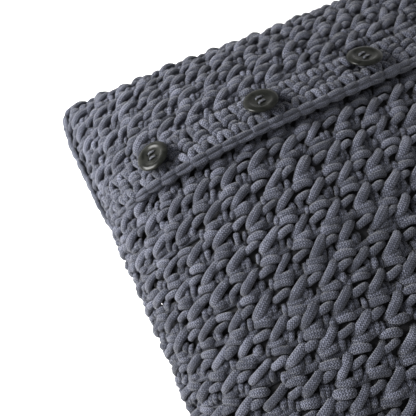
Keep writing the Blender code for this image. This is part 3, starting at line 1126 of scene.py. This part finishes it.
plainStitch = {
    # the rows show the fronts and the backs of the stitches by turns
    # each strand has its path, its width and its thickness
    "front": {
        "left": ([(-0.06, -0.55, 0.4), (-0.16, -0.2, 3.6), (-0.33, 0.2, 3.9), (-0.46, 0.5, 0.8)], 5.4, 5.0),
        "right": ([(0.06, -0.55, 0.4), (0.16, -0.2, 3.6), (0.33, 0.2, 3.9), (0.46, 0.5, 0.8)], 5.4, 5.0),
    },
    "back": {
        "bar": ([(-0.5, -0.05, 0.4), (-0.3, 0.22, 3.6), (0.1, 0.3, 4.0), (0.42, 0.1, 0.6)], 5.4, 5.0),
        "low": ([(-0.34, -0.46, 0.4), (-0.12, -0.24, 3.4), (0.2, -0.22, 3.2), (0.42, -0.42, 0.6)], 5.0, 4.6),
    },
    "rings": 9,
    "slip": 0.25,  # how far every second row slips sideways, in stitch widths
    "reach": 0.985,
    "jitter": 0.05,
    "lift": 0.3 * mm,
    "thickness": 0.05,
}


def plainRows(highShare, lowShare, seed, holes, across):
    # the band's rows of plain stitches, left open at the buttonholes
    spec = plainStitch
    rng = np.random.default_rng(seed)
    columns = int(round(2 * halfArc[True] / flap["bandPitch"]))
    pitch = 2 / columns
    row = (highShare - lowShare) / flap["bandRows"]
    groups = []
    for rowIndex in range(flap["bandRows"]):
        kind = "back" if rowIndex % 2 else "front"
        up = highShare - (rowIndex + 0.5) * row
        a0 = -1 + (np.arange(columns) + 0.5 + spec["slip"] * (rowIndex % 2)) * pitch
        keep = (a0 > across[0]) & (a0 <= across[1]) & (np.abs(a0) < spec["reach"])
        for holeAcross, holeUp, holeWide, holeTall in holes:
            inside = ((a0 - holeAcross) / holeWide) ** 2 + ((up - holeUp) / holeTall) ** 2 < 1
            keep &= ~inside
        a0 = a0[keep]
        count = len(a0)
        if not count:
            continue
        for path, width, thickness in spec[kind].values():
            curve = smoothPath(path, spec["rings"])
            wobble = rng.normal(0, spec["jitter"], (count, 2))
            a = a0[:, None] + (curve[None, :, 0] + wobble[:, :1]) * pitch
            a = np.clip(a, -shape["clothEdge"], shape["clothEdge"])
            b = up + (curve[None, :, 1] + wobble[:, 1:]) * row
            b = np.clip(b, -shape["clothEdge"], shape["clothEdge"])
            h = curve[None, :, 2] * mm + rng.normal(0, spec["lift"], (count, 1))
            raised = h + flapLift(a, b)
            centres, normals = onCloth(a, flapBend(a, b), raised, True, cover["flapDepth"])
            thick = 1 + rng.normal(0, spec["thickness"], count)
            size = (width * mm * thick, thickness * mm * thick)
            groups.append(tubes(centres, normals, *size, strandTints(rng, count), h))
    return groups


joints = {joint["name"]: joint for joint in frame["record"]["behaviour"]["joints"]}
buttonCount = sum(1 for name in joints if name.startswith("button_"))
buttons = []
for number in range(1, buttonCount + 1):
    low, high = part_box(f"button_{number}")
    centre = (np.array(low) + np.array(high)) / 2
    axis = np.array(joints[f"button_{number}_turn"]["axis"], float)
    buttons.append({"name": f"button_{number}", "centre": centre, "axis": axis / np.linalg.norm(axis)})


def holeAt(button):
    # the buttonhole lies in the band right under its button: its place and its half sizes, as shares
    u = button["centre"][0] / halfWidth
    line = tables[True][0][flap["holeLine"]]
    across = float(np.interp(abs(resquare(np.array(u))), line, np.linspace(0, 1, clothTable["steps"])))
    v = (button["centre"][1] - middleY) / (halfWidth * pulled(u))
    place = (math.copysign(across, u), float(shareAtMiddle(v)[0]))
    return (*place, flap["holeWidth"] / halfArc[True], flap["holeHeight"] / halfArc[True])


holes = [holeAt(button) for button in buttons]
endShare = 1 - flap["endWidth"] / halfArc[True]
flapParts = {
    "flapMiddle": ((-endShare, endShare), ("flap_panel", "flap_band", "flap_edge_chain")),
    "flapLeft": ((-1.1, -endShare), ("flap_end_left",)),
    "flapRight": ((endShare, 1.1), ("flap_end_right",)),
}
edgeShare = float(shareAtMiddle(flap["edgeLine"])[0])
bandFoot = float(shareAtMiddle(flap["footLine"])[0])
bandTop = float(shareAtMiddle(flap["topLine"])[0])


def edgeGroups(across, seed):
    # the chain along the flap's edge, turned a little down over it
    spec = edgeChain
    a = np.arange(-spec["reach"], spec["reach"], spec["link"] / halfArc[True])
    a = a[(a > across[0]) & (a <= across[1])]
    up = np.full_like(a, edgeShare)
    height = spec["height"] + flapLift(a, up)
    places, normals = onCloth(a, flapBend(a, up), height, True, cover["flapDepth"])
    a = a + spec["aheadStep"]
    further, _ = onCloth(a, flapBend(a, up), height, True, cover["flapDepth"])
    ahead = aheadOf(places, further)
    outOfCloth, overEdge = spec["outward"]
    outward = normals * outOfCloth + np.cross(ahead, normals) * overEdge
    outward /= np.linalg.norm(outward, axis=-1, keepdims=True)
    return chain(places, ahead, outward, spec, seed)


for partNumber, (name, (across, replaced)) in enumerate(flapParts.items()):
    seed = flap["seed"] + partNumber * 5
    depth = cover["flapDepth"]
    shaping = {"across": across, "lift": flapLift, "bend": flapBend}
    groups = crossedRows(True, depth, 1.0, bandTop, seed, rowsFrom=flap["firstRow"], **shaping)
    shaping.update(sides=flap["innerSides"], underside=flap["underside"])
    groups += crossedRows(True, depth, 1.0, bandFoot, seed + 3, rowsFrom=flap["firstInnerRow"], **shaping)
    groups += plainRows(bandTop, bandFoot, seed + 1, holes, across)
    groups += foldChains(True, depth, across, flap["foldSeed"] + 4 * partNumber)
    groups += edgeGroups(across, seed + 2)
    piece = joined(name, groups, "flap" if name == "flapMiddle" else None, replaced)
    if name != "flapMiddle":
        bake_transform(piece)


# seams: a chain of slip stitches down each side and along the bottom
seamChain = {
    "link": 10.5 * mm,
    "half": 3.0 * mm,
    "rise": 1.8 * mm,
    "width": 4.4 * mm,
    "thickness": 4.0 * mm,
    "share": 0.985,  # how far out on the front and the back the chain lies
    "height": 1.0 * mm,
    "overFlap": 3.4 * mm,  # how much further out it lies where it catches the flap's ends
    "flapFade": 0.12,  # share of the half height over which it comes back in at the corner
    "from": -0.985,
    "to": 0.96,
    "seed": 51,
}


def seamPiece(name, across, up, node, number):
    # the chain lies along the cloth, at these shares of the half width and half height
    spec = seamChain
    seed = spec["seed"] + number
    overFlap = np.clip(np.minimum(up - edgeShare, spec["to"] - up) / spec["flapFade"], 0, 1)
    groups = []
    for front in (True, False):
        height = spec["height"] + (spec["overFlap"] * overFlap if front else 0 * up)
        groups += chainAlong(across, up, height, front, shape["coverThickness"], spec, seed)
    joined(name, groups, "cover", (node,))


alongSeam = np.arange(seamChain["from"], seamChain["to"], seamChain["link"] / halfArc[True])
outShare = np.full_like(alongSeam, seamChain["share"])
seamPiece("sideSeamLeft", -outShare, alongSeam, "side_seam_left", 0)
seamPiece("sideSeamRight", outShare, alongSeam, "side_seam_right", 1)
seamPiece("bottomSeam", alongSeam, -outShare, "bottom_seam", 2)

# the rim of the mouth, under the flap
rimChain = {
    "link": 10 * mm,
    "half": 2.4 * mm,
    "rise": 1.2 * mm,
    "width": 4.6 * mm,
    "thickness": 3.6 * mm,
    "height": 0.6 * mm,
    "overMouth": 3.5 * mm,
    "reach": 0.96,
    "aheadStep": 0.01,
    "seed": 54,
}
rimAcross = np.arange(-rimChain["reach"], rimChain["reach"], rimChain["link"] / halfArc[True])
rimUp = np.full_like(rimAcross, mouthLow + rimChain["overMouth"] / halfArc[True])
rimHeight = np.full_like(rimAcross, rimChain["height"])
places, normals = onCloth(rimAcross, rimUp, rimHeight, True, cover["frontDepth"])
further, _ = onCloth(rimAcross + rimChain["aheadStep"], rimUp, rimHeight, True, cover["frontDepth"])
rimGroups = chain(places, aheadOf(places, further), normals, rimChain, rimChain["seed"])
joined("mouthRim", rimGroups, "cover", ("front_mouth_rim",))

# buttons
buttonShape = {
    "segments": 72,
    "outlineSteps": 46,
    "holePitch": 4.6 * mm,
    "holeRadius": 1.1 * mm,
    "holeSides": 24,
    "drillLength": 8 * mm,
    "drillMiddle": 2 * mm,
    "middleHeight": 2.1 * mm,  # from the button's back to the middle of the frame's own button
    # across and up, from the middle of the dish round the domed rim to the middle of the back
    "profile": [
        (0.0, 2.2), (3.0, 2.25), (5.4, 2.45), (6.6, 2.75), (7.4, 3.1), (8.2, 3.3), (9.0, 3.3), (9.9, 3.1),
        (10.7, 2.75), (11.25, 2.3), (11.5, 1.75), (11.35, 1.25), (10.7, 0.8), (9.4, 0.4), (6.0, 0.1),
        (0.0, 0.0),
    ],
}


def latheMesh(name, outline, segments):
    made = bmesh.new()
    rings = []
    for radius, height in outline:
        if radius == 0:
            rings.append([made.verts.new((0, 0, height))])
            continue
        ring = []
        for k in range(segments):
            angle = 2 * math.pi * k / segments
            ring.append(made.verts.new((radius * math.cos(angle), radius * math.sin(angle), height)))
        rings.append(ring)
    for first, second in zip(rings, rings[1:]):
        for k in range(segments):
            corners = [first[k % len(first)], first[(k + 1) % len(first)]]
            corners += [second[(k + 1) % len(second)], second[k % len(second)]]
            corners = list(dict.fromkeys(corners))
            made.faces.new(corners)
    bmesh.ops.recalc_face_normals(made, faces=made.faces)
    mesh = bpy.data.meshes.new(name)
    made.to_mesh(mesh)
    made.free()
    return mesh


def buttonMesh():
    spec = buttonShape
    outline = smoothPath([(r * mm, z * mm) for r, z in spec["profile"]], spec["outlineSteps"])
    outline[:, 0] = np.maximum(outline[:, 0], 0)
    outline[0, 0] = 0
    outline[-1, 0] = 0
    turned = latheMesh("buttonBody", [tuple(p) for p in outline], spec["segments"])
    body = bpy.data.objects.new("buttonBody", turned)
    bpy.context.scene.collection.objects.link(body)
    made = bmesh.new()
    drill = {"cap_ends": True, "segments": spec["holeSides"], "depth": spec["drillLength"]}
    drill.update(radius1=spec["holeRadius"], radius2=spec["holeRadius"])
    for across in (-0.5, 0.5):
        for up in (-0.5, 0.5):
            place = (across * spec["holePitch"], up * spec["holePitch"], spec["drillMiddle"])
            bmesh.ops.create_cone(made, matrix=Matrix.Translation(place), **drill)
    cutterMesh = bpy.data.meshes.new("buttonHoles")
    made.to_mesh(cutterMesh)
    made.free()
    cutter = bpy.data.objects.new("buttonHoles", cutterMesh)
    bpy.context.scene.collection.objects.link(cutter)
    boolean = body.modifiers.new("holes", "BOOLEAN")
    boolean.object = cutter
    boolean.operation = "DIFFERENCE"
    boolean.solver = "EXACT"
    bpy.context.view_layer.update()
    mesh = bpy.data.meshes.new_from_object(body.evaluated_get(bpy.context.evaluated_depsgraph_get()))
    mesh.materials.clear()
    mesh.materials.append(finishes["button"])
    mesh.polygons.foreach_set("use_smooth", np.ones(len(mesh.polygons), bool))
    bpy.data.objects.remove(cutter)
    bpy.data.objects.remove(body)
    return mesh


def buttonPlace(button):
    # the button's own axes in the frame: x along the band, z out of its face
    out = Vector(button["axis"])
    along = Vector((0, 1, 0)).cross(out).normalized()
    up = out.cross(along)
    turn = Matrix((along, up, out)).transposed().to_4x4()
    return Matrix.Translation(Vector(button["centre"]) - out * buttonShape["middleHeight"]) @ turn


buttonThread = {
    "thickness": 0.95 * mm,
    "apart": 0.42 * mm,  # how far the two threads of a bar lie from its middle
    "rings": 25,
    "tint": 0.5,
    # shares of the way to the hole, shares of apart, then millimetres over the button's back
    "path": [
        (-1, 0.6, -1.6), (-1, 1, 1.2), (-0.8, 1, 2.75), (0, 1.1, 3.1), (0.8, 1, 2.75), (1, 1, 1.2),
        (1, 0.6, -1.6),
    ],
}
shank = {
    "thickness": 1.3 * mm,
    "radius": 1.85 * mm,
    "wander": 0.15 * mm,  # how unevenly it is wound
    "wanderTurns": 0.37,
    "top": -0.3 * mm,
    "length": 5.5 * mm,
    "turns": 5,
    "rings": 120,
    "tint": 0.4,
}


def threadGroups():
    # two bars of doubled thread across the dish, down through the four holes to the shank
    spec = buttonThread
    reach = buttonShape["holePitch"] / 2
    size = np.array([spec["thickness"]])
    groups = []
    for row in (-1, 1):
        for strand in (-1, 1):
            shift = strand * spec["apart"]
            path = [(x * reach, row * reach + shift * y, z * mm) for x, y, z in spec["path"]]
            curve = smoothPath(path, spec["rings"])[None]
            normals = np.broadcast_to(np.array([0, 1.0, 0]), curve.shape)
            groups.append(tubes(curve, normals, size, size, np.array([spec["tint"]])))
    return groups


def shankGroups():
    # thread wound round the stitches between the button and the cloth
    spec = shank
    turns = np.linspace(0, 1, spec["rings"])
    angle = turns * 2 * math.pi * spec["turns"]
    radius = spec["radius"] + spec["wander"] * np.sin(angle * spec["wanderTurns"])
    height = spec["top"] - spec["length"] * turns
    curve = np.stack([radius * np.cos(angle), radius * np.sin(angle), height], -1)[None]
    outward = np.stack([np.cos(angle), np.sin(angle), 0 * angle], -1)[None]
    size = np.array([spec["thickness"]])
    return [tubes(curve, outward, size, size, np.array([spec["tint"]]))]


sharedButton = buttonMesh()
for button in buttons:
    number = button["name"].split("_")[1]
    place = buttonPlace(button)
    face = bpy.data.objects.new(f"buttonFace{number}", sharedButton.copy())
    bpy.context.scene.collection.objects.link(face)
    face.data.transform(place)
    dress(face, button["name"], (button["name"],))
    for label, groups, body, node in (
        ("buttonThread", threadGroups(), button["name"], f"button_thread_{number}"),
        ("threadShank", shankGroups(), "cover", f"thread_shank_{number}"),
    ):
        piece = meshFromTubes(f"{label}{number}", groups, "thread")
        piece.data.transform(place)
        dress(piece, body, (node,))
print("buttons:", buttonCount)
